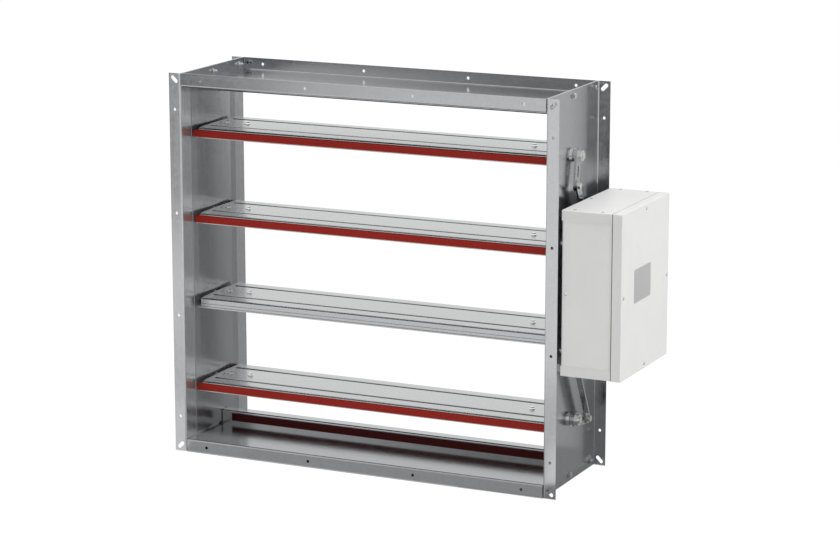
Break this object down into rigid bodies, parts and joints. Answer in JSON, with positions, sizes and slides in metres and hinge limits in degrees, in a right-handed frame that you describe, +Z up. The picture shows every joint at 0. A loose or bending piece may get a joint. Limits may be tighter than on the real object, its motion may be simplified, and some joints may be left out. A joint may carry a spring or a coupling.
{
  "type": "smoke control damper",
  "caption": "Flanged rectangular duct damper with opposed hollow blades, red edge seals, an outside lever linkage and a boxed actuator on one side.",
  "frame": {"origin": "centre of the duct opening in the plane of the front flange", "axes": "+X to the actuator side, +Y along the air path from the front flange to the rear one, +Z up"},
  "size_m": [1.1076, 0.3, 0.89],
  "materials": {
    "casing_steel": "galvanised sheet, satin with fine spangle",
    "blade_steel": "galvanised sheet, satin",
    "zinc_hardware": "bright zinc plate",
    "linkage_steel": "zinc plated strip",
    "spring_sheet": "stainless spring sheet",
    "blade_seal": "matt red silicone",
    "stop_seal": "matt dark red silicone",
    "housing_steel": "pale satin sheet",
    "actuator_case": "moulded, fine texture",
    "gland_plastic": "moulded, satin"
  },
  "bodies": {
    "casing": {"side_wall_left": "casing_steel", "side_wall_right": "casing_steel", "top_channel": "casing_steel", "bottom_channel": "casing_steel", "corner_bolts": "zinc_hardware", "bearing_bushes": "zinc_hardware", "top_stop": "casing_steel", "bottom_stop": "casing_steel", "top_stop_seal": "stop_seal", "bottom_stop_seal": "stop_seal", "side_seal_left": "spring_sheet", "side_seal_right": "spring_sheet", "housing_rail_front": "casing_steel", "housing_rail_rear": "casing_steel", "housing_body": "housing_steel", "housing_top_panel": "housing_steel", "housing_bottom_panel": "housing_steel", "housing_lid": "housing_steel", "housing_screws": "zinc_hardware", "rotary_actuator": "actuator_case", "cable_gland": "gland_plastic"},
    "blade_1": {"blade_1": "blade_steel", "blade_1_axles": "zinc_hardware", "blade_1_end_caps": "blade_steel", "blade_1_screws": "zinc_hardware", "blade_1_front_seal": "blade_seal", "lever_1": "linkage_steel", "lever_1_nut": "zinc_hardware"},
    "blade_2": {"blade_2": "blade_steel", "blade_2_axles": "zinc_hardware", "blade_2_end_caps": "blade_steel", "blade_2_screws": "zinc_hardware", "blade_2_front_seal": "blade_seal", "blade_2_rear_seal": "blade_seal", "lever_2": "linkage_steel", "lever_2_nut": "zinc_hardware", "link_1_2_hinge_bolt": "zinc_hardware", "link_2_3_hinge_bolt": "zinc_hardware", "shaft_clamp": "zinc_hardware"},
    "blade_3": {"blade_3": "blade_steel", "blade_3_axles": "zinc_hardware", "blade_3_end_caps": "blade_steel", "blade_3_screws": "zinc_hardware", "lever_3": "linkage_steel", "lever_3_nut": "zinc_hardware"},
    "blade_4": {"blade_4": "blade_steel", "blade_4_axles": "zinc_hardware", "blade_4_end_caps": "blade_steel", "blade_4_screws": "zinc_hardware", "blade_4_front_seal": "blade_seal", "blade_4_rear_seal": "blade_seal", "lever_4": "linkage_steel", "lever_4_nut": "zinc_hardware", "link_3_4_hinge_bolt": "zinc_hardware"},
    "link_1_2": {"link_1_2": "linkage_steel", "link_1_2_end_bolt": "zinc_hardware"},
    "link_2_3": {"link_2_3": "linkage_steel", "link_2_3_end_bolt": "zinc_hardware"},
    "link_3_4": {"link_3_4": "linkage_steel", "link_3_4_end_bolt": "zinc_hardware"}
  },
  "joints": [
    {"name": "blade_2_turn", "type": "hinge", "parent": "casing", "child": "blade_2", "pos_m": [0, 0.15, 0.1], "axis": [1, 0, 0], "range_deg": [0, 90]},
    {"name": "blade_1_turn", "type": "hinge", "parent": "casing", "child": "blade_1", "pos_m": [0, 0.15, 0.3], "axis": [1, 0, 0], "range_deg": [-90, 0]},
    {"name": "blade_3_turn", "type": "hinge", "parent": "casing", "child": "blade_3", "pos_m": [0, 0.15, -0.1], "axis": [1, 0, 0], "range_deg": [-90, 0]},
    {"name": "blade_4_turn", "type": "hinge", "parent": "casing", "child": "blade_4", "pos_m": [0, 0.15, -0.3], "axis": [1, 0, 0], "range_deg": [0, 90]},
    {"name": "link_1_2_swing", "type": "hinge", "parent": "blade_2", "child": "link_1_2", "pos_m": [0, 0.21485, 0.08773], "axis": [1, 0, 0], "range_deg": [-90, 0]},
    {"name": "link_2_3_swing", "type": "hinge", "parent": "blade_2", "child": "link_2_3", "pos_m": [0, 0.16227, 0.03515], "axis": [1, 0, 0], "range_deg": [-90, 0]},
    {"name": "link_3_4_swing", "type": "hinge", "parent": "blade_4", "child": "link_3_4", "pos_m": [0, 0.21485, -0.31227], "axis": [1, 0, 0], "range_deg": [-90, 0]}
  ],
  "couplings": [
    {"joint": "blade_1_turn", "follows": "blade_2_turn", "ratio": -1},
    {"joint": "blade_3_turn", "follows": "blade_2_turn", "ratio": -1},
    {"joint": "blade_4_turn", "follows": "blade_2_turn", "ratio": 1},
    {"joint": "link_1_2_swing", "follows": "blade_2_turn", "ratio": -1},
    {"joint": "link_2_3_swing", "follows": "blade_2_turn", "ratio": -1},
    {"joint": "link_3_4_swing", "follows": "blade_2_turn", "ratio": -1}
  ]
}
